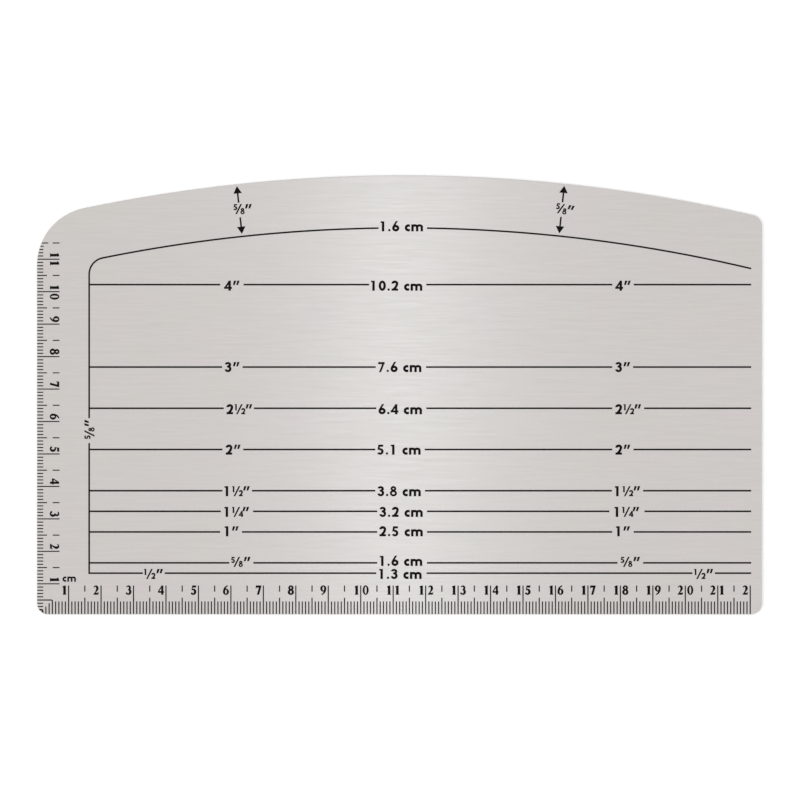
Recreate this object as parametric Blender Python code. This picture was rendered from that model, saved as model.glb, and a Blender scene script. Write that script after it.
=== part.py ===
"""Hem gauge: a flat sheet of brushed aluminium with one curved edge, printed on one face with seam and hem lines.

Frame: the sheet lies on its plain back with its printed face up. X runs along the long side, Y from the
straight long edge towards the curved edge, and +Z out of the printed face. The origin is on the back face,
in the middle of the sheet's box. Every printed line is its own thin deposit of ink, standing on the face.
"""

import math

import bmesh
import bpy

MM = 0.001
INCH = 0.0254

# The sheet.
SHEET_LENGTH = 223.4 * MM
SHEET_WIDTH = 135.2 * MM  # at the crown of the curved edge
SHEET_THICKNESS = 0.8 * MM
CROWN_RADIUS = 19.0 * INCH
CROWN_SHIFT = 1.0 * MM  # how far the crown stands right of the middle
LARGE_CORNER = 18.0 * MM  # the top left corner
SMALL_CORNER = 3.4 * MM  # the other three corners
DEBURR = 0.08 * MM  # chamfer along both faces' edges
LARGE_ARC_STEPS = 24
SMALL_ARC_STEPS = 10
CROWN_STEPS = 40

# The ink.
INK_THICKNESS = 0.03 * MM
LINE_WIDTH = 0.52 * MM

# The seam line: 5/8 in inside the left and the curved edges, with a gap for a legend in each run.
SEAM_ALLOWANCE = 0.625 * INCH + LINE_WIDTH / 2  # edge of the sheet to the line's middle
SEAM_CORNER = 5.1 * MM
SEAM_STEPS = 20
SEAM_LEGEND_GAP = (52.8 * MM, 60.45 * MM)  # heights above the straight edge
CROWN_LEGEND_GAP = (105.3 * MM, 120.2 * MM)  # distances from the left edge
LINES_END = 220.1 * MM  # where the hem lines and the seam line stop, from the left edge

# The hem lines: height above the straight edge in inches, then the gaps left for the three legends on each
# line, as distances from the left edge in millimetres.
HEM_LINES = {
    "1_2in": (0.5, (32.7, 39.4), (104.6, 120.1), (202.0, 208.9)),
    "5_8in": (0.625, (59.3, 66.7), (104.9, 120.2), (178.9, 186.8)),
    "1in": (1.0, (56.5, 63.2), (104.9, 120.2), (177.3, 183.9)),
    "1_1_4in": (1.25, (56.7, 66.6), (104.9, 120.2), (176.4, 187.2)),
    "1_1_2in": (1.5, (57.2, 66.3), (104.3, 119.6), (177.2, 186.8)),
    "2in": (2.0, (57.2, 63.6), (104.3, 119.5), (177.3, 183.8)),
    "2_1_2in": (2.5, (57.6, 66.9), (104.6, 120.0), (177.3, 187.1)),
    "3in": (3.0, (57.1, 63.4), (104.4, 119.9), (177.3, 183.7)),
    "4in": (4.0, (56.5, 63.7), (102.4, 120.0), (177.3, 183.9)),
}

# The arrows: two pairs across the seam allowance, each pointing away from a legend.
LEFT_ARROW_ANGLE = math.radians(-6.08)  # about the crown's centre, clockwise from straight up
RIGHT_ARROW_ANGLE = math.radians(5.93)
ARROW_LENGTH = 5.15 * MM
ARROW_SHAFT = 0.52 * MM
ARROW_HEAD_LENGTH = 2.25 * MM
ARROW_HEAD_WIDTH = 2.65 * MM
UPPER_ARROW_TIP = 0.55 * MM  # inside the curved edge
LOWER_ARROW_TIP = 15.35 * MM

ALUMINIUM = ("brushed_aluminium", (0.60, 0.575, 0.555, 1.0), 0.38, 1.0)
INK = ("black_ink", (0.012, 0.011, 0.011, 1.0), 0.45, 0.0)

LEFT = -SHEET_LENGTH / 2
BOTTOM = -SHEET_WIDTH / 2
CROWN_CENTRE = (CROWN_SHIFT, SHEET_WIDTH / 2 - CROWN_RADIUS)


def clear_scene():
    for obj in list(bpy.data.objects):
        bpy.data.objects.remove(obj, do_unlink=True)


def make_material(name, colour, roughness, metallic):
    material = bpy.data.materials.new(name)
    material.use_nodes = True
    shader = material.node_tree.nodes["Principled BSDF"]
    shader.inputs["Base Color"].default_value = colour
    shader.inputs["Roughness"].default_value = roughness
    shader.inputs["Metallic"].default_value = metallic
    return material


def add_object(name, shape, material):
    """Turns a bmesh into a named object, with its faces pointing out."""
    bmesh.ops.recalc_face_normals(shape, faces=shape.faces)
    mesh = bpy.data.meshes.new(name)
    shape.to_mesh(mesh)
    shape.free()
    mesh.materials.append(material)
    obj = bpy.data.objects.new(name, mesh)
    bpy.context.scene.collection.objects.link(obj)
    return obj


def arc(centre, radius, start, end, steps):
    """Points along an arc, both ends included, for angles in radians."""
    angles = [start + (end - start) * i / steps for i in range(steps + 1)]
    return [(centre[0] + radius * math.cos(a), centre[1] + radius * math.sin(a)) for a in angles]


def corner_on_crown(x, radius, crown_radius):
    """The centre of a corner circle at this x that touches the crown's circle from inside, and the angle,
    about the crown's centre, at which they touch."""
    across = x - CROWN_CENTRE[0]
    rise = math.sqrt((crown_radius - radius) ** 2 - across**2)
    return (x, CROWN_CENTRE[1] + rise), math.atan2(rise, across)


def sheet_outline(inset):
    """The sheet's outline, counterclockwise, drawn in by a distance."""
    small = SMALL_CORNER - inset
    large = LARGE_CORNER - inset
    crown = CROWN_RADIUS - inset
    right_x = -LEFT - SMALL_CORNER
    low_y = BOTTOM + SMALL_CORNER
    right_corner, right_touch = corner_on_crown(right_x, small, crown)
    left_corner, left_touch = corner_on_crown(LEFT + LARGE_CORNER, large, crown)
    points = arc((LEFT + SMALL_CORNER, low_y), small, math.pi, 1.5 * math.pi, SMALL_ARC_STEPS)
    points += arc((right_x, low_y), small, 1.5 * math.pi, 2 * math.pi, SMALL_ARC_STEPS)
    points += arc(right_corner, small, 0, right_touch, SMALL_ARC_STEPS)
    points += arc(CROWN_CENTRE, crown, right_touch, left_touch, CROWN_STEPS)[1:-1]
    points += arc(left_corner, large, left_touch, math.pi, LARGE_ARC_STEPS)
    return points


def stack_rings(rings):
    """A closed solid through rings of equally many points, lowest first, with a flat face at each end."""
    shape = bmesh.new()
    loops = [[shape.verts.new((x, y, z)) for x, y in points] for points, z in rings]
    count = len(loops[0])
    shape.faces.new(loops[0])
    shape.faces.new(loops[-1])
    for low, high in zip(loops, loops[1:]):
        for i in range(count):
            j = (i + 1) % count
            shape.faces.new((low[i], low[j], high[j], high[i]))
    return shape


def add_sheet(material):
    rim = sheet_outline(0)
    face = sheet_outline(DEBURR)
    rings = [(face, 0), (rim, DEBURR), (rim, SHEET_THICKNESS - DEBURR), (face, SHEET_THICKNESS)]
    return add_object("sheet", stack_rings(rings), material)


def add_ink(name, outline, material):
    """A deposit of ink with this outline, standing on the printed face."""
    rings = [(outline, SHEET_THICKNESS), (outline, SHEET_THICKNESS + INK_THICKNESS)]
    return add_object(name, stack_rings(rings), material)


def bar(x_start, x_end, height):
    """The outline of a horizontal line, from two distances from the left edge and its height."""
    low = BOTTOM + height - LINE_WIDTH / 2
    high = low + LINE_WIDTH
    return [(LEFT + x_start, low), (LEFT + x_end, low), (LEFT + x_end, high), (LEFT + x_start, high)]


def crown_band(x_start, x_end):
    """The outer and inner edges of the curved seam line between two distances from the left edge."""
    middle = CROWN_RADIUS - SEAM_ALLOWANCE
    angles = [math.acos((LEFT + x - CROWN_CENTRE[0]) / middle) for x in (x_start, x_end)]
    outer = arc(CROWN_CENTRE, middle + LINE_WIDTH / 2, *angles, SEAM_STEPS)
    inner = arc(CROWN_CENTRE, middle - LINE_WIDTH / 2, *angles, SEAM_STEPS)
    return outer, inner


def comb_teeth(names, stem_x):
    """The inner side of the upright seam line, top to bottom, with a tooth along each named hem line."""
    points = []
    for name in names:
        inches, left_gap = HEM_LINES[name][:2]
        middle = BOTTOM + inches * INCH
        high, low = middle + LINE_WIDTH / 2, middle - LINE_WIDTH / 2
        end = LEFT + left_gap[0] * MM
        points += [(stem_x, high), (end, high), (end, low), (stem_x, low)]
    return points


def add_upper_seam_line(material):
    """The upright line above its legend, the round corner, the curve up to its legend, and the first
    stretches of the hem lines that start from the upright."""
    outer_x = LEFT + SEAM_ALLOWANCE - LINE_WIDTH / 2
    inner_x = outer_x + LINE_WIDTH
    crown_middle = CROWN_RADIUS - SEAM_ALLOWANCE
    centre, touch = corner_on_crown(LEFT + SEAM_ALLOWANCE + SEAM_CORNER, SEAM_CORNER, crown_middle)
    outer_curve, inner_curve = crown_band(centre[0] - LEFT + SEAM_CORNER * math.cos(touch), CROWN_LEGEND_GAP[0])
    start = BOTTOM + SEAM_LEGEND_GAP[1]
    outline = [(inner_x, start), (outer_x, start)]
    outline += arc(centre, SEAM_CORNER + LINE_WIDTH / 2, math.pi, touch, SMALL_ARC_STEPS)
    outline += outer_curve[1:]
    outline += reversed(inner_curve[1:])
    outline += arc(centre, SEAM_CORNER - LINE_WIDTH / 2, touch, math.pi, SMALL_ARC_STEPS)
    outline += comb_teeth(["4in", "3in", "2_1_2in"], inner_x)
    return add_ink("seam_line_upper", outline, material)


def add_lower_seam_line(material):
    """The upright line below its legend, with the first stretches of the lower hem lines."""
    outer_x = LEFT + SEAM_ALLOWANCE - LINE_WIDTH / 2
    inner_x = outer_x + LINE_WIDTH
    end = BOTTOM + SEAM_LEGEND_GAP[0]
    outline = [(outer_x, end), (inner_x, end)]
    outline += comb_teeth(["2in", "1_1_2in", "1_1_4in", "1in", "5_8in", "1_2in"], inner_x)[:-1]
    outline += [(outer_x, BOTTOM + HEM_LINES["1_2in"][0] * INCH - LINE_WIDTH / 2)]
    return add_ink("seam_line_lower", outline, material)


def add_right_seam_line(material):
    outer, inner = crown_band(CROWN_LEGEND_GAP[1], LINES_END)
    return add_ink("seam_line_right", outer + inner[::-1], material)


def add_hem_lines(material):
    """The three further stretches of each hem line, between its legends."""
    for name, (inches, left_gap, middle_gap, right_gap) in HEM_LINES.items():
        stretches = {
            "inner": (left_gap[1] * MM, middle_gap[0] * MM),
            "middle": (middle_gap[1] * MM, right_gap[0] * MM),
            "outer": (right_gap[1] * MM, LINES_END),
        }
        for place, (start, end) in stretches.items():
            add_ink(f"hem_line_{name}_{place}", bar(start, end, inches * INCH), material)


def add_arrow(name, angle, tip_inset, outward, material):
    """An arrow along a radius of the crown, its tip this far inside the curved edge."""
    side = 1 if outward else -1
    tip = CROWN_RADIUS - tip_inset
    neck = tip - side * ARROW_HEAD_LENGTH
    tail = tip - side * ARROW_LENGTH
    half_shaft, half_head = ARROW_SHAFT / 2, ARROW_HEAD_WIDTH / 2
    profile = [
        (tail, -half_shaft),
        (neck, -half_shaft),
        (neck, -half_head),
        (tip, 0),
        (neck, half_head),
        (neck, half_shaft),
        (tail, half_shaft),
    ]
    sine, cosine = math.sin(angle), math.cos(angle)
    outline = [
        (CROWN_CENTRE[0] + along * sine + across * cosine, CROWN_CENTRE[1] + along * cosine - across * sine)
        for along, across in profile
    ]
    return add_ink(name, outline, material)


def add_arrows(material):
    for place, angle in (("left", LEFT_ARROW_ANGLE), ("right", RIGHT_ARROW_ANGLE)):
        add_arrow(f"arrow_{place}_up", angle, UPPER_ARROW_TIP, True, material)
        add_arrow(f"arrow_{place}_down", angle, LOWER_ARROW_TIP, False, material)


def main():
    clear_scene()
    aluminium = make_material(*ALUMINIUM)
    ink = make_material(*INK)
    add_sheet(aluminium)
    add_upper_seam_line(ink)
    add_lower_seam_line(ink)
    add_right_seam_line(ink)
    add_hem_lines(ink)
    add_arrows(ink)


main()
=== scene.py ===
"""Looks of the hem gauge: its brushed sheet with rounded edges, the printed scales, numerals and legends
that the frame leaves out, their materials, and a plain white studio seen from straight above.

Everything is in metres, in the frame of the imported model: X along the sheet, Y from the straight edge
towards the curved edge, Z out of the printed face.
"""

import functools
import math

import bmesh
import bpy
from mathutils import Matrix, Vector
from mathutils.geometry import delaunay_2d_cdt


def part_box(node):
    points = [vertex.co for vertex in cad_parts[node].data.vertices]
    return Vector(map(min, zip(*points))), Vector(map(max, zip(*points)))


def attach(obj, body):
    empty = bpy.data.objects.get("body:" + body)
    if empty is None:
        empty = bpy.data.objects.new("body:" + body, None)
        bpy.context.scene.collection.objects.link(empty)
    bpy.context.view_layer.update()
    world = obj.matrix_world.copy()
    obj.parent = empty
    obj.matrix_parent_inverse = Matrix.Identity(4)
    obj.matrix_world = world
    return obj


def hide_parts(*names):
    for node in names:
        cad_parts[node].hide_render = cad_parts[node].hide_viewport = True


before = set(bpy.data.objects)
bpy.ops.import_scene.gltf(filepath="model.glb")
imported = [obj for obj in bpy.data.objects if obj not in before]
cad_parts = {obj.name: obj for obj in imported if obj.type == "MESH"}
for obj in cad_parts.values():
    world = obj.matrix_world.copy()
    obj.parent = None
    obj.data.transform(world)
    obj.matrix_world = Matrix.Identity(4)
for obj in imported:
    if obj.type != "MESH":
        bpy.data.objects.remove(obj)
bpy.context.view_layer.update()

MM = 0.001

# The sheet, as the frame has it.
SHEET_LOW, SHEET_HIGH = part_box("sheet")
LEFT, BOTTOM, FACE = SHEET_LOW.x, SHEET_LOW.y, SHEET_HIGH.z
CROWN_RADIUS = 482.6 * MM
CROWN_CENTRE = (1.0 * MM, SHEET_HIGH.y - CROWN_RADIUS)
LARGE_CORNER = 18.0 * MM
SMALL_CORNER = 3.4 * MM
EDGE_ROUNDING = 0.12 * MM
EDGE_STEPS = 4
CORNER_STEPS = 28
CROWN_STEPS = 64

# The ink: its top, and the width of the frame's printed lines.
INK_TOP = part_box("seam_line_right")[1].z
LINE_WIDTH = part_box("hem_line_1in_inner")[1].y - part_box("hem_line_1in_inner")[0].y
INK_INSET = 0.13 * MM  # how far inside the sheet's outline the graduations start

# The two centimetre scales. Distances are from the edge that the graduations stand on.
BOTTOM_TICK = 0.37 * MM
LEFT_TICK = 0.34 * MM
BOTTOM_SCALE_ZERO = -0.2 * MM  # right of the left edge
BOTTOM_SCALE_LENGTH = 220  # millimetres
BOTTOM_MILLIMETRE = 4.0 * MM
BOTTOM_HALF = 5.15 * MM
BOTTOM_DASH = (7.0 * MM, 8.9 * MM)
LEFT_SCALE_ZERO = -0.58 * MM  # above the straight edge
LEFT_SCALE_LENGTH = 115
LEFT_MILLIMETRE = 2.0 * MM
LEFT_HALF = 3.15 * MM
LEFT_DASH = (4.9 * MM, 7.0 * MM)
CORNER_BEND = 0.3 * MM  # of the graduations that meet in the corner
CORNER_TICK = {2: 0.52 * MM, 5: 0.38 * MM}  # width of those, for the millimetre they stand at

# Numerals and legends. Glyphs are drawn with digits ten units high.
NUMERAL_UNIT = 0.285 * MM
NUMERAL_GAP = 0.58 * MM  # from a graduation's middle to a numeral's cell
BOTTOM_BASELINE = 6.05 * MM
LEFT_BASELINE = 4.05 * MM
LEGEND_UNIT = 0.311 * MM
LEGEND_PEN = 1.24  # half the width of a legend's line, in glyph units
SMALL_DIGIT = 0.61  # size of a fraction's digits
SMALL_DIGIT_PEN = 1.34
UNIT_SIGN_UNIT = 0.23 * MM
UNIT_SIGN_PEN = 1.2
UNIT_SIGN_AT = (7.9 * MM, 10.05 * MM)

# The legends on each hem line: whole inches, numerator, denominator, centimetres, how far the baseline
# is below the line's middle in millimetres, and the clearance, also in millimetres, from the left legend
# to the next stretch of line.
HEM_LEGENDS = {
    "1_2in": ("", "1", "2", "1.3", 1.8, 0.5),
    "5_8in": ("", "5", "8", "1.6", 1.25, 0.85),
    "1in": ("1", "", "", "2.5", 1.35, 1.0),
    "1_1_4in": ("1", "1", "4", "3.2", 1.73, 1.15),
    "1_1_2in": ("1", "1", "2", "3.8", 1.7, 0.65),
    "2in": ("2", "", "", "5.1", 1.6, 0.8),
    "2_1_2in": ("2", "1", "2", "6.4", 1.85, 0.5),
    "3in": ("3", "", "", "7.6", 1.56, 0.9),
    "4in": ("4", "", "", "10.2", 1.88, 1.2),
}
CENTIMETRES_LIFT = {"5_8in": 0.3 * MM}  # of a centimetre legend above the inches on its line
CENTIMETRES_SHIFT = -0.33 * MM
CROWN_LEGEND_SHIFT = -0.3 * MM
CROWN_LEGEND_DROP = 1.0 * MM
UPRIGHT_LEGEND_DROP = 1.65 * MM
UPRIGHT_LEGEND_LIFT = 0.35 * MM
ARROW_LEGEND_SHIFT = -0.23 * MM
ARROW_LEGEND_LIFT = 0.28 * MM
RIGHT_ARROW_LEGEND_TILT = -10.0  # degrees

# How close two points have to be to count as one, in glyph units and in metres.
GLYPH_TOLERANCE = 1e-5
METRE_TOLERANCE = 1e-9

# The studio.
VIEW_WIDTH = 246.47 * MM  # seen across the picture, at the printed face
VIEW_CENTRE = (0.2 * MM, -1.55 * MM)
CAMERA_HEIGHT = 1.0
SENSOR = 36.0  # millimetres
FLOOR_GAP = 0.02 * MM
FLOOR_SIZE = 6.0
OVERHEAD = 1.6  # height of the strip and the panel
OVERHEAD_LENGTH = 2.4
PANEL_X = -0.28
SOFTBOX_SIZE = (0.9, 0.9)
WHITE = (1.0, 1.0, 1.0)


# Flat shapes --------------------------------------------------------------------------------------

def ellipse(centre, radii, start=0.0, end=360.0, steps=24):
    """Points along an ellipse, both ends included, for angles in degrees."""
    angles = [math.radians(start + (end - start) * i / steps) for i in range(steps + 1)]
    return [(centre[0] + radii[0] * math.cos(a), centre[1] + radii[1] * math.sin(a)) for a in angles]


def bend(start, control, end, steps=5):
    """Points along a quadratic curve, both ends included."""
    points = []
    for i in range(steps + 1):
        t = i / steps
        weights = ((1 - t) ** 2, 2 * t * (1 - t), t * t)
        points.append(tuple(sum(w * p[k] for w, p in zip(weights, (start, control, end))) for k in (0, 1)))
    return points


def rectangle(low_x, low_y, high_x, high_y):
    return [(low_x, low_y), (high_x, low_y), (high_x, high_y), (low_x, high_y)]


def strip(first, second):
    """The four-sided pieces between two curves with equally many points."""
    return [[first[i], first[i + 1], second[i + 1], second[i]] for i in range(len(first) - 1)]


def band(centre, outer, thickness, start=0.0, end=360.0, shift=0.0, steps=24):
    """The four-sided pieces between two elliptical arcs. The inner one is smaller by a thickness sideways
    and one upright, and its centre is shifted sideways."""
    inner = (outer[0] - thickness[0], outer[1] - thickness[1])
    inside = ellipse((centre[0] + shift, centre[1]), inner, start, end, steps)
    return strip(ellipse(centre, outer, start, end, steps), inside)


def stroke(path, half_width):
    """The four-sided pieces of a line of even width along an open path."""
    rights, lefts = [], []
    for i, (x, y) in enumerate(path):
        before, after = path[max(i - 1, 0)], path[min(i + 1, len(path) - 1)]
        run, rise = after[0] - before[0], after[1] - before[1]
        reach = math.hypot(run, rise) / half_width
        rights.append((x + rise / reach, y - run / reach))
        lefts.append((x - rise / reach, y + run / reach))
    return strip(rights, lefts)


def counterclockwise(polygon):
    doubled = sum(a[0] * b[1] - b[0] * a[1] for a, b in zip(polygon, polygon[1:] + polygon[:1]))
    return polygon if doubled > 0 else polygon[::-1]


def union(polygons, tolerance=GLYPH_TOLERANCE):
    """Points and triangles that cover what any of the polygons covers."""
    points, faces = [], []
    for polygon in polygons:
        faces.append(list(range(len(points), len(points) + len(polygon))))
        points += [Vector(p) for p in counterclockwise(polygon)]
    points, _, triangles, _, _, sources = delaunay_2d_cdt(points, [], faces, 1, tolerance)
    covered = [triangle for triangle, source in zip(triangles, sources) if source]
    kept = [counterclockwise([tuple(points[i]) for i in triangle]) for triangle in covered]
    places = {}
    corners = [[places.setdefault(p, len(places)) for p in triangle] for triangle in kept]
    return list(places), corners


def place(shape, unit, origin, degrees=0.0, offset=(0.0, 0.0)):
    """A shape at a size, moved by an offset in its own units, then turned and carried to its origin."""
    points, triangles = shape
    cosine, sine = math.cos(math.radians(degrees)), math.sin(math.radians(degrees))
    moved = []
    for x, y in points:
        along, up = (x + offset[0]) * unit, (y + offset[1]) * unit
        moved.append((origin[0] + along * cosine - up * sine, origin[1] + along * sine + up * cosine))
    return moved, triangles


# Glyphs of the numerals on the scales: a bold upright face with serifs ----------------------------

def disc(centre, radius):
    return [ellipse(centre, (radius, radius), steps=14)[:-1]]


def six_parts():
    outside = bend((0.0, 3.5), (0.2, 8.8), (5.0, 10.3), 10)
    inside = bend((2.4, 4.2), (2.4, 7.6), (5.5, 9.3), 10)
    return band((3.25, 3.25), (3.35, 3.5), (2.5, 1.4)) + strip(outside, inside)


def numeral_parts(digit):
    """The overlapping polygons of a numeral, its width, and how far it stands in from its cell."""
    if digit == "0":
        return band((3.3, 5), (3.35, 5.25), (2.35, 1.3)), 6.6, 0
    if digit == "1":
        flag = [(-0.5, 8.3), (0.6, 7.4), (3.2, 8.9), (3.2, 10.1), (2.2, 10.1), (-0.4, 9.0)]
        foot = [(-0.2, 0), (3.9, 0), (3.9, 0.6), (3.3, 1.1), (0.4, 1.1), (-0.2, 0.6)]
        return [rectangle(0.4, 0, 3.3, 9.6), flag, foot], 3.6, 0.6
    if digit == "2":
        outside = ellipse((2.85, 7.05), (2.85, 3.15), 158, -25, 14)
        inside = ellipse((2.0, 7.1), (1.0, 1.5), 165, -15, 14)
        outside += bend(outside[-1], (4.7, 4.1), (1.9, 1.4))[1:]
        inside += bend(inside[-1], (3.1, 4.6), (0.1, 0.7))[1:]
        base = [(0, 0), (5.4, 0), (6.0, 2.9), (5.45, 2.9), (4.95, 2.2), (1.2, 2.2), (0, 0.7)]
        return strip(outside, inside) + [base], 5.9, 0.4
    if digit == "3":
        upper = band((2.9, 7.45), (2.7, 2.75), (1.75, 1.5), 160, -85, shift=-0.55)
        lower = band((2.85, 3.15), (3.35, 3.4), (1.9, 1.6), 88, -148, shift=-0.75)
        return upper + lower + disc((1.0, 1.45), 1.15), 6.0, 0.3
    if digit == "4":
        diagonal = [(0, 2.1), (1.3, 3.6), (3.6, 7.4), (3.6, 10), (3.9, 10), (0, 4.0)]
        return [rectangle(3.45, 0, 5.85, 10), diagonal, rectangle(0, 2.1, 6.5, 4.05)], 6.5, 0.1
    if digit == "5":
        flag = [(1.4, 10.1), (1.1, 7.7), (5.4, 7.7), (5.9, 10.1)]
        stem = [(1.5, 10), (0.6, 5.5), (1.45, 5.2), (2.1, 8.3)]
        bowl = band((2.6, 3.2), (3.35, 3.45), (2.0, 1.7), 125, -145, shift=-0.7)
        return [flag, stem] + bowl + disc((0.95, 1.4), 1.15), 5.8, 0.3
    if digit == "7":
        bar = [(0.3, 10.1), (-0.1, 6.8), (0.5, 6.8), (1.0, 7.7), (5.9, 7.7), (6.25, 9.2), (6.25, 10.1)]
        return [bar, [(3.6, 8.3), (1.3, 0), (3.8, 0), (6.2, 9.2)]], 6.2, 0.1
    if digit == "8":
        upper = band((3.3, 7.5), (2.95, 2.8), (2.25, 1.75))
        return upper + band((3.3, 2.9), (3.45, 3.2), (2.55, 1.8)), 6.6, 0
    if digit == "6":
        return six_parts(), 6.45, 0.1
    return [[(6.45 - x, 10 - y) for x, y in polygon] for polygon in six_parts()], 6.45, 0.1


# Glyphs of the legends: an even, geometric face without serifs ------------------------------------

def letter_c(pen):
    """An open round letter with its ends cut upright."""
    outer_centre, outer_radii = (3.7, 3.5), (3.7, 3.6)
    inner_centre, inner_radii = (4.2, 3.5), (4.2 - 2 * pen, 3.6 - 2 * pen)
    cut = 5.25
    outer_end = math.degrees(math.acos((cut - outer_centre[0]) / outer_radii[0]))
    inner_end = math.degrees(math.acos((cut - inner_centre[0]) / inner_radii[0]))
    outer = ellipse(outer_centre, outer_radii, outer_end, 360 - outer_end)
    return strip(outer, ellipse(inner_centre, inner_radii, inner_end, 360 - inner_end))


def letter_m(pen):
    """Three stems and two arches."""
    width, pitch, shoulder, top = 2 * pen, 4.6, 4.4, 7.1
    parts = [rectangle(0, 0, width, 6.95)]
    for x in (0.0, pitch):
        centre = (x + (width + pitch) / 2, shoulder)
        parts += band(centre, ((width + pitch) / 2, top - shoulder), (width, width), 180, 0, steps=14)
        parts.append(rectangle(x + pitch, 0, x + pitch + width, shoulder + 0.2))
    return parts


def legend_parts(character, pen):
    """The overlapping polygons of a legend's glyph, from half the width of its line, with its left bearing
    and its advance."""
    line = (2 * pen, 2 * pen)
    level = 1.75 * pen
    if character == "0":
        return band((3.62, 5), (3.62, 5.12), line, steps=32), 0.7, 8.7
    if character == "1":
        flag = [(0, 8.3), (2.3, 8.7), (2.3, 10), (0.5, 10), (0, 9.6)]
        return [rectangle(3.75 - 2 * pen, 0, 3.75, 10), flag], 1.85, 8.7
    if character == "2":
        bowl = ellipse((3.45, 7.1), (3.42 - pen, 3.02 - pen), 184, -20, 18)
        diagonal = bend(bowl[-1], (5.3, 5.0), (4.0, 3.2)) + [(1.9, 0.7)]
        return stroke(bowl[:-1] + diagonal, pen) + [rectangle(0.16, 0, 6.65, level)], 0.85, 8.7
    if character == "3":
        upper = band((3.3, 7.37), (3.22, 2.72), (2 * pen, level), 170, -90, steps=18)
        lower = band((3.35, 3.2), (3.47, 3.29), (2 * pen, level), 90, -168, steps=18)
        return upper + lower + [rectangle(2.3, 4.65, 3.5, 6.49)], 0.9, 8.7
    if character == "4":
        slant = [(0, 2.8), (2.2, 2.8), (5.0, 7.0), (5.0, 10), (4.8, 10)]
        crossbar = rectangle(0, 1.85, 7.85, 1.85 + 0.9 * level)
        return [rectangle(6.8 - 2 * pen, 0, 6.8, 10), crossbar, slant], 0.3, 8.7
    if character == "5":
        bar = [(1.1, 10), (0.9, 10 - level), (6.0, 10 - level), (6.0, 10)]
        stem = [(1.1, 10), (0.25, 4.7), (2.3, 5.0), (2.85, 8.5)]
        bowl = band((2.95, 3.2), (3.45, 3.29), (2 * pen, level), 118, -152, steps=20)
        return [bar, stem] + bowl, 0.9, 8.7
    if character == "6":
        tail = [(0.25, 4.7), (2.6, 4.9), (5.75, 10.2), (3.6, 10.2)]
        return band((3.6, 3.2), (3.6, 3.3), line) + [tail], 0.8, 8.7
    if character == "7":
        slant = [(4.3, 8.5), (0.9, 0), (3.05, 0), (6.6, 9.3)]
        return [rectangle(0.1, 10 - level, 6.6, 10), slant], 1.0, 8.7
    if character == "8":
        slim = (1.7 * pen, 1.55 * pen)
        return band((3.5, 7.5), (2.85, 2.6), slim) + band((3.5, 2.97), (3.55, 3.1), slim), 0.8, 8.7
    if character == ".":
        return disc((1.2, 1.2), 1.2), 0.7, 3.8
    if character == "c":
        return letter_c(pen), 0.5, 6.5
    return letter_m(pen), 0.5, 11.9


SLASH = [(-0.1, 0), (1.6, 0), (6.6, 10), (4.9, 10)]
PRIME = [(-0.1, 5.65), (1.75, 5.65), (3.3, 10), (0.9, 10)]
PRIME_PITCH = 3.3
PRIMES_WIDTH = PRIME_PITCH + PRIME[2][0]
WORD_SPACE = 4.1
SLASH_START = {"1": 1.5, "5": 1.85}  # from the numerator's left side
DENOMINATOR_START = 5.0  # from the slash's left side
PRIMES_START = {"2": 9.5, "4": 8.95, "8": 9.6}  # from the slash's left side
LONE_FRACTION_SPREAD = 0.65
ARROW_FRACTION_SPREAD = 0.1
FRACTION_SPACE = {"1": 0.75, "2": 0.3}  # after the whole inches
PRIMES_SPACE = 0.5


@functools.cache
def glyph(parts_of, *details):
    """A glyph's parts as one shape, and its two measures."""
    parts, first, second = parts_of(*details)
    return union(parts), first, second


def text_run(text, pen=LEGEND_PEN):
    """Shapes with their offsets for a run of characters, where its ink starts and ends, and the advance."""
    shapes, at, start, end = [], 0.0, None, 0.0
    for character in text:
        if character == " ":
            at += WORD_SPACE
            continue
        shape, bearing, advance = glyph(legend_parts, character, pen)
        shapes.append((shape, (at + bearing, 0.0), 1.0))
        start = at + bearing if start is None else start
        end = at + bearing + max(x for x, _ in shape[0])
        at += advance
    return shapes, start, end, at


def small_digit(digit, x, y):
    shape = glyph(legend_parts, digit, SMALL_DIGIT_PEN)[0]
    return shape, (x / SMALL_DIGIT, y / SMALL_DIGIT), SMALL_DIGIT


def inch_legend(whole, numerator, denominator, spread=0.0):
    """Shapes of a length in inches, with where its ink starts and ends and where its slash has its middle.
    A spread sets the slash and the primes further from the digits before them."""
    shapes, start, _, at = text_run(whole)
    slash_middle = None
    if numerator:
        at = at + FRACTION_SPACE[whole] if whole else 0.0
        start = at if start is None else start
        slash = at + SLASH_START[numerator] + spread
        shapes.append(small_digit(numerator, at, 10 - 10 * SMALL_DIGIT))
        shapes.append((union([SLASH]), (slash, 0.0), 1.0))
        shapes.append(small_digit(denominator, slash + DENOMINATOR_START, 0.0))
        slash_middle = slash + SLASH[2][0] / 2
        at = slash + PRIMES_START[denominator] + spread
    else:
        at += PRIMES_SPACE
    for i in (0, 1):
        shapes.append((union([PRIME]), (at + i * PRIME_PITCH, 0.0), 1.0))
    return shapes, start, at + PRIMES_WIDTH, slash_middle


def set_legend(shapes, anchor, origin, degrees=0.0, unit=LEGEND_UNIT, lift=0.0):
    """Places a legend so that a point of its baseline, or one above it, lies at the origin."""
    placed = []
    for shape, (x, y), size in shapes:
        offset = (x - anchor / size, y - lift / size)
        placed.append(place(shape, unit * size, origin, degrees, offset))
    return placed


# The printed marks --------------------------------------------------------------------------------

def add_mesh(name, vertices, faces, material):
    mesh = bpy.data.meshes.new(name)
    mesh.from_pydata(vertices, [], faces)
    mesh.materials.append(material)
    piece = bpy.data.objects.new(name, mesh)
    bpy.context.scene.collection.objects.link(piece)
    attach(piece, "root")
    return piece


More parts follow.
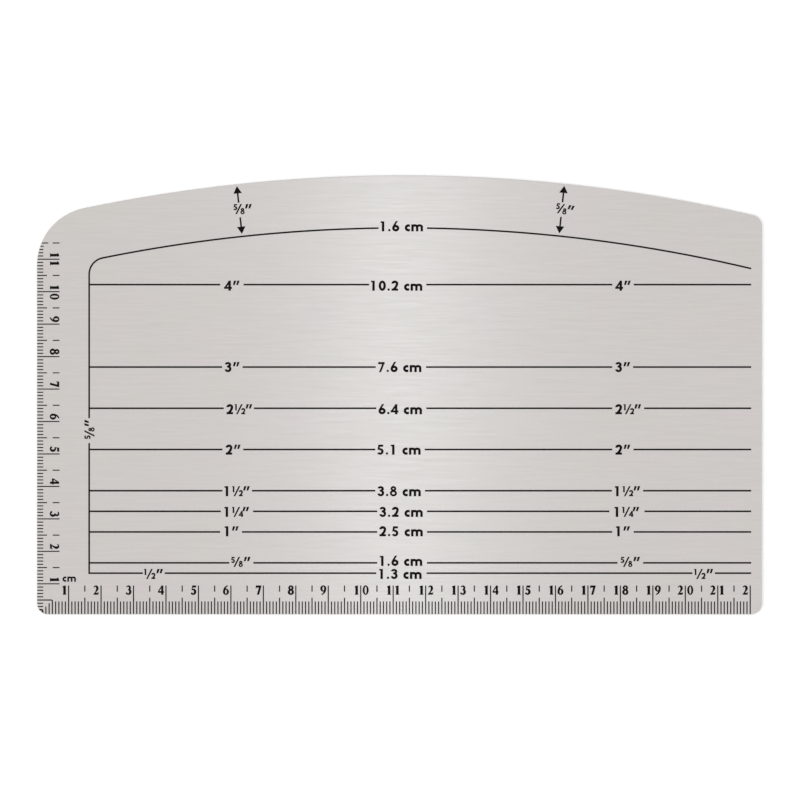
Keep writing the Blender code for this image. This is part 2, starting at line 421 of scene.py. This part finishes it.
def add_print(name, shapes, material):
    """One piece of closed ink deposits that stand on the printed face."""
    vertices, faces = [], []
    for points, triangles in shapes:
        low, high = len(vertices), len(vertices) + len(points)
        vertices += [(x, y, FACE) for x, y in points] + [(x, y, INK_TOP) for x, y in points]
        edges = {(t[k], t[(k + 1) % 3]) for t in triangles for k in range(3)}
        for triangle in triangles:
            faces.append([high + i for i in triangle])
            faces.append([low + i for i in reversed(triangle)])
        rim = sorted((i, j) for i, j in edges if (j, i) not in edges)
        faces += [(low + i, low + j, high + j, high + i) for i, j in rim]
    return add_mesh(name, vertices, faces, material)


def corner_inset(distance, radius):
    """How far a corner's arc stands in from an edge, this far along the edge from the corner."""
    if distance >= radius:
        return 0.0
    return radius - math.sqrt(radius**2 - (radius - distance) ** 2)


def bottom_start(x):
    """How far above the straight edge a graduation can start, at a distance from the left edge."""
    return INK_INSET + corner_inset(x, SMALL_CORNER)


def left_start(y):
    """How far inside the left edge a graduation can start, at a height above the straight edge."""
    across = LEFT + LARGE_CORNER - CROWN_CENTRE[0]
    corner_rise = math.sqrt((CROWN_RADIUS - LARGE_CORNER) ** 2 - across**2)
    corner_top = CROWN_CENTRE[1] + corner_rise + LARGE_CORNER - BOTTOM
    return INK_INSET + max(corner_inset(y, SMALL_CORNER), corner_inset(corner_top - y, LARGE_CORNER))


def upright_tick(x, end, start=None, width=BOTTOM_TICK):
    """An upright outline at a distance from the left edge. Its foot follows the corner."""
    near, far = x - width / 2, x + width / 2
    feet = [bottom_start(side) if start is None else start for side in (near, far)]
    return [(near, feet[0]), (far, feet[1]), (far, end), (near, end)]


def level_tick(y, end, start=None, width=LEFT_TICK):
    """A level outline at a height above the straight edge. Its foot follows the corner."""
    low, high = y - width / 2, y + width / 2
    feet = [left_start(side) if start is None else start for side in (low, high)]
    return [(feet[0], low), (end, low), (end, high), (feet[1], high)]


def graduation(*outlines):
    """One deposit from outlines that are measured from the sheet's lower left."""
    return place(union(outlines, METRE_TOLERANCE), 1.0, (LEFT, BOTTOM))


def corner_marks():
    """The graduations of both scales that meet in the corner: each pair is one bent deposit."""
    shapes = []
    for millimetres, width in CORNER_TICK.items():
        x, y = millimetres * MM + BOTTOM_SCALE_ZERO, millimetres * MM + LEFT_SCALE_ZERO
        turn = (x - CORNER_BEND, y - CORNER_BEND)
        corner = stroke(ellipse(turn, (CORNER_BEND, CORNER_BEND), 90, 0, 6), width / 2)
        arms = [level_tick(y, turn[0], width=width), upright_tick(x, turn[1], width=width)]
        shapes.append(graduation(*arms, *corner))
    for millimetres in (3, 4):
        reach = millimetres * MM + LEFT_SCALE_ZERO
        shapes.append(graduation(upright_tick(millimetres * MM + BOTTOM_SCALE_ZERO, reach)))
        shapes.append(graduation(level_tick(reach, LEFT_MILLIMETRE)))
    return shapes


def bottom_graduations():
    shapes = []
    for millimetres in range(6, BOTTOM_SCALE_LENGTH + 1):
        x = millimetres * MM + BOTTOM_SCALE_ZERO
        if millimetres % 10 == 0:
            shapes.append(graduation(upright_tick(x, BOTTOM_DASH[1])))
        elif millimetres % 5 == 0:
            shapes.append(graduation(upright_tick(x, BOTTOM_HALF)))
            shapes.append(graduation(upright_tick(x, BOTTOM_DASH[1], BOTTOM_DASH[0])))
        else:
            shapes.append(graduation(upright_tick(x, BOTTOM_MILLIMETRE)))
    return shapes


def left_graduations():
    shapes = []
    for millimetres in range(6, LEFT_SCALE_LENGTH + 1):
        y = millimetres * MM + LEFT_SCALE_ZERO
        if millimetres % 10 == 0:
            shapes.append(graduation(level_tick(y, LEFT_DASH[1])))
        elif millimetres % 5 == 0:
            end = max(LEFT_HALF, left_start(y) + LEFT_MILLIMETRE)
            shapes.append(graduation(level_tick(y, end)))
            shapes.append(graduation(level_tick(y, LEFT_DASH[1], LEFT_DASH[0])))
        else:
            end = max(LEFT_MILLIMETRE, left_start(y) + LEFT_MILLIMETRE / 2)
            shapes.append(graduation(level_tick(y, end)))
    return shapes


def numeral(digit, origin, degrees, before):
    """A numeral beside its graduation: before it, or after it, in the reading direction."""
    shape, width, inset = glyph(numeral_parts, digit)
    gap = NUMERAL_GAP / NUMERAL_UNIT + inset
    return place(shape, NUMERAL_UNIT, origin, degrees, (-gap - width if before else gap, 0.0))


def bottom_numerals():
    shapes = []
    for centimetres in range(1, BOTTOM_SCALE_LENGTH // 10 + 1):
        origin = (LEFT + BOTTOM_SCALE_ZERO + centimetres * 10 * MM, BOTTOM + BOTTOM_BASELINE)
        digits = str(centimetres)
        shapes.append(numeral(digits[0], origin, 0.0, True))
        if len(digits) == 2 and centimetres * 10 < BOTTOM_SCALE_LENGTH:
            shapes.append(numeral(digits[1], origin, 0.0, False))
    return shapes


def left_numerals():
    shapes = []
    for centimetres in range(1, LEFT_SCALE_LENGTH // 10 + 1):
        origin = (LEFT + LEFT_BASELINE, BOTTOM + LEFT_SCALE_ZERO + centimetres * 10 * MM)
        digits = str(centimetres)
        shapes.append(numeral(digits[0], origin, -90.0, True))
        if len(digits) == 2:
            shapes.append(numeral(digits[1], origin, -90.0, False))
    return shapes


def hem_legends():
    """The legends on the hem lines, in three columns: inches, centimetres, and inches again."""
    columns = ([], [], [])
    for name, (whole, numerator, denominator, centimetres, drop, clearance) in HEM_LEGENDS.items():
        inner, middle, outer = (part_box(f"hem_line_{name}_{part}") for part in ("inner", "middle", "outer"))
        y = (inner[0].y + inner[1].y) / 2 - drop * MM
        spread = 0.0 if whole else LONE_FRACTION_SPREAD
        shapes, start, end, _ = inch_legend(whole, numerator, denominator, spread)
        columns[0].extend(set_legend(shapes, end, (inner[0].x - clearance * MM, y)))
        columns[2].extend(set_legend(shapes, (start + end) / 2, ((middle[1].x + outer[0].x) / 2, y)))
        shapes, start, end, _ = text_run(centimetres + " cm")
        at = ((inner[1].x + middle[0].x) / 2 + CENTIMETRES_SHIFT, y + CENTIMETRES_LIFT.get(name, 0.0))
        columns[1].extend(set_legend(shapes, (start + end) / 2, at))
    return columns


def seam_legends():
    """The legends of the seam: on the crown, on the upright, and one between each pair of arrows."""
    upper, lower, right = (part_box(f"seam_line_{part}") for part in ("upper", "lower", "right"))
    crown, start, end, _ = text_run("1.6 cm")
    x = (upper[1].x + right[0].x) / 2 + CROWN_LEGEND_SHIFT
    y = right[1].y - LINE_WIDTH / 2 - CROWN_LEGEND_DROP
    placed = set_legend(crown, (start + end) / 2, (x, y))
    inches, start, end, _ = inch_legend("", "5", "8", LONE_FRACTION_SPREAD)
    x = upper[0].x + LINE_WIDTH / 2 + UPRIGHT_LEGEND_DROP
    y = (lower[1].y + upper[0].y) / 2 + UPRIGHT_LEGEND_LIFT
    placed += set_legend(inches, (start + end) / 2, (x, y), 90.0)
    inches, _, _, slash = inch_legend("", "5", "8", ARROW_FRACTION_SPREAD)
    for side, tilt in (("left", 0.0), ("right", RIGHT_ARROW_LEGEND_TILT)):
        up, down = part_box(f"arrow_{side}_up"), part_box(f"arrow_{side}_down")
        x = (up[0].x + up[1].x + down[0].x + down[1].x) / 4 + ARROW_LEGEND_SHIFT
        y = (up[0].y + down[1].y) / 2 + ARROW_LEGEND_LIFT
        placed += set_legend(inches, slash, (x, y), tilt, lift=5.0)
    return placed


def unit_sign():
    shapes, start, _, _ = text_run("cm", UNIT_SIGN_PEN)
    origin = (LEFT + UNIT_SIGN_AT[0], BOTTOM + UNIT_SIGN_AT[1])
    return set_legend(shapes, start, origin, unit=UNIT_SIGN_UNIT)


def add_prints(material):
    add_print("corner_graduations", corner_marks(), material)
    add_print("bottom_graduations", bottom_graduations(), material)
    add_print("left_graduations", left_graduations(), material)
    add_print("bottom_numerals", bottom_numerals(), material)
    add_print("left_numerals", left_numerals(), material)
    columns = ("left_inch_legends", "centimetre_legends", "right_inch_legends")
    for name, shapes in zip(columns, hem_legends()):
        add_print(name, shapes, material)
    add_print("seam_legends", seam_legends(), material)
    add_print("unit_sign", unit_sign(), material)


# The sheet ----------------------------------------------------------------------------------------

def corner_on_crown(x, radius, crown_radius):
    """The centre of a corner circle at this x that touches the crown's circle from inside, and the angle,
    in degrees about the crown's centre, at which they touch."""
    across = x - CROWN_CENTRE[0]
    rise = math.sqrt((crown_radius - radius) ** 2 - across**2)
    return (x, CROWN_CENTRE[1] + rise), math.degrees(math.atan2(rise, across))


def sheet_outline(inset):
    """The sheet's outline, counterclockwise, drawn in by a distance."""
    small, large, crown = SMALL_CORNER - inset, LARGE_CORNER - inset, CROWN_RADIUS - inset
    right_x, low_y = SHEET_HIGH.x - SMALL_CORNER, BOTTOM + SMALL_CORNER
    right_corner, right_touch = corner_on_crown(right_x, small, crown)
    left_corner, left_touch = corner_on_crown(LEFT + LARGE_CORNER, large, crown)
    points = ellipse((LEFT + SMALL_CORNER, low_y), (small, small), 180, 270, CORNER_STEPS // 2)
    points += ellipse((right_x, low_y), (small, small), 270, 360, CORNER_STEPS // 2)
    points += ellipse(right_corner, (small, small), 0, right_touch, CORNER_STEPS // 2)
    points += ellipse(CROWN_CENTRE, (crown, crown), right_touch, left_touch, CROWN_STEPS)[1:-1]
    points += ellipse(left_corner, (large, large), left_touch, 180, CORNER_STEPS)
    return points


def edge_profile():
    """Pairs of inset and height up the sheet's edge, with both its arrises rounded."""
    rounding, thickness = EDGE_ROUNDING, FACE
    arc = ellipse((0, 0), (rounding, rounding), 90, 0, EDGE_STEPS)
    low = [(rounding - x, rounding - y) for x, y in arc]
    return low + [(inset, thickness - height) for inset, height in reversed(low)]


def add_sheet(face_material, edge_material):
    """The sheet again, with finer curves, rounded arrises, and a map that runs across the grain."""
    shape = bmesh.new()
    rings = [[shape.verts.new((x, y, z)) for x, y in sheet_outline(inset)] for inset, z in edge_profile()]
    count = len(rings[0])
    flats = [shape.faces.new(rings[0][::-1]), shape.faces.new(rings[-1])]
    for low, high in zip(rings, rings[1:]):
        for i in range(count):
            j = (i + 1) % count
            face = shape.faces.new((low[i], low[j], high[j], high[i]))
            face.smooth = True
            face.material_index = 1
    across_grain = shape.loops.layers.uv.new("across_grain")
    for face in shape.faces:
        for loop in face.loops:
            loop[across_grain].uv = (loop.vert.co.y, loop.vert.co.x)
    bmesh.ops.triangulate(shape, faces=flats)
    mesh = bpy.data.meshes.new("brushed_sheet")
    shape.to_mesh(mesh)
    shape.free()
    mesh.materials.append(face_material)
    mesh.materials.append(edge_material)
    piece = bpy.data.objects.new("brushed_sheet", mesh)
    bpy.context.scene.collection.objects.link(piece)
    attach(piece, "root")
    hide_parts("sheet")
    return piece


# Materials ----------------------------------------------------------------------------------------

def new_material(name):
    material = bpy.data.materials.new(name)
    material.use_nodes = True
    tree = material.node_tree
    return material, tree, tree.nodes["Principled BSDF"]


def noise(tree, scale, detail, roughness=0.5, coordinates="Object"):
    """Noise over the object's own coordinates, stretched by a scale for each axis, in cycles per metre."""
    source = tree.nodes.new("ShaderNodeTexCoord")
    mapping = tree.nodes.new("ShaderNodeMapping")
    mapping.inputs["Scale"].default_value = scale
    texture = tree.nodes.new("ShaderNodeTexNoise")
    texture.inputs["Scale"].default_value = 1.0
    texture.inputs["Detail"].default_value = detail
    texture.inputs["Roughness"].default_value = roughness
    tree.links.new(source.outputs[coordinates], mapping.inputs["Vector"])
    tree.links.new(mapping.outputs["Vector"], texture.inputs["Vector"])
    return texture.outputs["Fac"]


def ramp(tree, factor, stops):
    """A colour for each stop, from pairs of position and colour."""
    node = tree.nodes.new("ShaderNodeValToRGB")
    while len(node.color_ramp.elements) < len(stops):
        node.color_ramp.elements.new(0.5)
    for element, (position, colour) in zip(node.color_ramp.elements, stops):
        element.position = position
        element.color = (*colour, 1.0)
    tree.links.new(factor, node.inputs["Fac"])
    return node.outputs["Color"]


def blend_colours(tree, kind, factor, first, second):
    node = tree.nodes.new("ShaderNodeMix")
    node.data_type = "RGBA"
    node.blend_type = kind
    node.inputs["Factor"].default_value = factor
    tree.links.new(first, node.inputs[6])
    tree.links.new(second, node.inputs[7])
    return node.outputs[2]


def spread(tree, factor, low, high):
    """A factor around the middle of its range, carried to a range of values."""
    node = tree.nodes.new("ShaderNodeMapRange")
    node.inputs["From Min"].default_value = 0.25
    node.inputs["From Max"].default_value = 0.75
    node.inputs["To Min"].default_value = low
    node.inputs["To Max"].default_value = high
    tree.links.new(factor, node.inputs["Value"])
    return node.outputs["Result"]


def brushed_aluminium():
    """Light grey metal with a long straight grain along X, and a slight drift in tint."""
    material, tree, shader = new_material("brushed_aluminium_face")
    tint = ramp(
        tree,
        noise(tree, (45, 60, 60), 2.0),
        [(0.35, (0.621, 0.587, 0.575)), (0.5, (0.616, 0.589, 0.570)), (0.65, (0.611, 0.592, 0.568))],
    )
    coarse = noise(tree, (85, 1700, 1700), 3.0, 0.6)
    streaks = ramp(tree, coarse, [(0.3, (0.92, 0.92, 0.92)), (0.7, (1.0, 1.0, 1.0))])
    fine = noise(tree, (60, 4200, 4200), 2.0, 0.6)
    grain = ramp(tree, fine, [(0.25, (0.94, 0.94, 0.94)), (0.75, (1.0, 1.0, 1.0))])
    colour = blend_colours(tree, "MULTIPLY", 0.42, tint, streaks)
    colour = blend_colours(tree, "MULTIPLY", 0.5, colour, grain)
    tree.links.new(colour, shader.inputs["Base Color"])
    tree.links.new(spread(tree, coarse, 0.27, 0.22), shader.inputs["Roughness"])
    shader.inputs["Metallic"].default_value = 1.0
    shader.inputs["Anisotropic"].default_value = 0.88
    tangent = tree.nodes.new("ShaderNodeTangent")
    tangent.direction_type = "UV_MAP"
    tangent.uv_map = "across_grain"
    tree.links.new(tangent.outputs["Tangent"], shader.inputs["Tangent"])
    bump = tree.nodes.new("ShaderNodeBump")
    bump.inputs["Strength"].default_value = 0.12
    bump.inputs["Distance"].default_value = 0.004 * MM
    tree.links.new(fine, bump.inputs["Height"])
    tree.links.new(bump.outputs["Normal"], shader.inputs["Normal"])
    return material


def sheared_edge():
    """The deburred edge: the same metal, a little darker and rougher, with marks across its thickness."""
    material, tree, shader = new_material("deburred_edge")
    marks = noise(tree, (1800, 1800, 120), 3.0, 0.6)
    colour = ramp(tree, marks, [(0.3, (0.47, 0.45, 0.44)), (0.7, (0.56, 0.54, 0.525))])
    tree.links.new(colour, shader.inputs["Base Color"])
    tree.links.new(spread(tree, marks, 0.3, 0.45), shader.inputs["Roughness"])
    shader.inputs["Metallic"].default_value = 1.0
    bump = tree.nodes.new("ShaderNodeBump")
    bump.inputs["Strength"].default_value = 0.2
    bump.inputs["Distance"].default_value = 0.01 * MM
    tree.links.new(marks, bump.inputs["Height"])
    tree.links.new(bump.outputs["Normal"], shader.inputs["Normal"])
    return material


def black_ink():
    """Dense screen-printed enamel: near black, with a slight unevenness in tone and gloss."""
    material, tree, shader = new_material("printed_black_ink")
    mottle = noise(tree, (2600, 2600, 2600), 3.0, 0.6)
    colour = ramp(tree, mottle, [(0.3, (0.0014, 0.0011, 0.0010)), (0.7, (0.0040, 0.0033, 0.0030))])
    tree.links.new(colour, shader.inputs["Base Color"])
    tree.links.new(spread(tree, mottle, 0.4, 0.55), shader.inputs["Roughness"])
    shader.inputs["Metallic"].default_value = 0.0
    shader.inputs["Specular IOR Level"].default_value = 0.06
    bump = tree.nodes.new("ShaderNodeBump")
    bump.inputs["Strength"].default_value = 0.15
    bump.inputs["Distance"].default_value = 0.004 * MM
    tree.links.new(mottle, bump.inputs["Height"])
    tree.links.new(bump.outputs["Normal"], shader.inputs["Normal"])
    return material


def ink_frame_nodes(material):
    """Gives the ink to the printed lines and arrows that stay from the frame."""
    for name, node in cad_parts.items():
        if name != "sheet":
            node.material_slots[0].material = material


# The studio ---------------------------------------------------------------------------------------

def add_floor():
    material, tree, shader = new_material("studio_floor")
    pale = ramp(tree, noise(tree, (3, 3, 3), 2.0), [(0.3, (0.93, 0.93, 0.93)), (0.7, (0.95, 0.95, 0.95))])
    tree.links.new(pale, shader.inputs["Base Color"])
    shader.inputs["Roughness"].default_value = 0.9
    mesh = bpy.data.meshes.new("studio_floor")
    reach = FLOOR_SIZE / 2
    corners = rectangle(-reach, -reach, reach, reach)
    mesh.from_pydata([(x, y, SHEET_LOW.z - FLOOR_GAP) for x, y in corners], [], [range(4)])
    mesh.materials.append(material)
    floor = bpy.data.objects.new("studio_floor", mesh)
    bpy.context.scene.collection.objects.link(floor)


def add_area_light(name, location, size, power, colour):
    """A rectangular light that faces the origin."""
    data = bpy.data.lights.new(name, "AREA")
    data.shape = "RECTANGLE"
    data.size, data.size_y = size
    data.energy = power
    data.color = colour
    light = bpy.data.objects.new(name, data)
    light.location = location
    light.rotation_euler = (-Vector(location)).to_track_quat("-Z", "Y").to_euler()
    bpy.context.scene.collection.objects.link(light)
    return light


def add_lights():
    """A white room, a narrow strip overhead that draws the band across the grain, a broad weak panel on
    the left of it, and a softbox on each side."""
    world = bpy.data.worlds.new("white_room")
    world.use_nodes = True
    background = world.node_tree.nodes["Background"]
    background.inputs["Color"].default_value = (*WHITE, 1.0)
    background.inputs["Strength"].default_value = 1.0
    bpy.context.scene.world = world
    add_area_light("overhead_strip", (0, 0, OVERHEAD), (0.05, OVERHEAD_LENGTH), 0.36, (0.84, 0.94, 1.0))
    panel_at = (PANEL_X, 0, OVERHEAD)
    add_area_light("overhead_panel", panel_at, (0.4, OVERHEAD_LENGTH), 0.28, (1.0, 0.84, 0.84))
    for name, x, power in (("left_softbox", -1.4, 9.0), ("right_softbox", 1.4, 1.7)):
        add_area_light(name, (x, -0.3, 1.2), SOFTBOX_SIZE, power, WHITE)


def add_camera():
    data = bpy.data.cameras.new("camera")
    data.sensor_width = SENSOR
    data.lens = SENSOR * CAMERA_HEIGHT / VIEW_WIDTH
    data.clip_start, data.clip_end = 0.01, 50.0
    camera = bpy.data.objects.new("camera", data)
    camera.location = (VIEW_CENTRE[0], VIEW_CENTRE[1], FACE + CAMERA_HEIGHT)
    bpy.context.scene.collection.objects.link(camera)
    bpy.context.scene.camera = camera


def main():
    bpy.context.scene.view_settings.view_transform = "Standard"
    ink = black_ink()
    add_sheet(brushed_aluminium(), sheared_edge())
    ink_frame_nodes(ink)
    add_prints(ink)
    add_floor()
    add_lights()
    add_camera()


main()
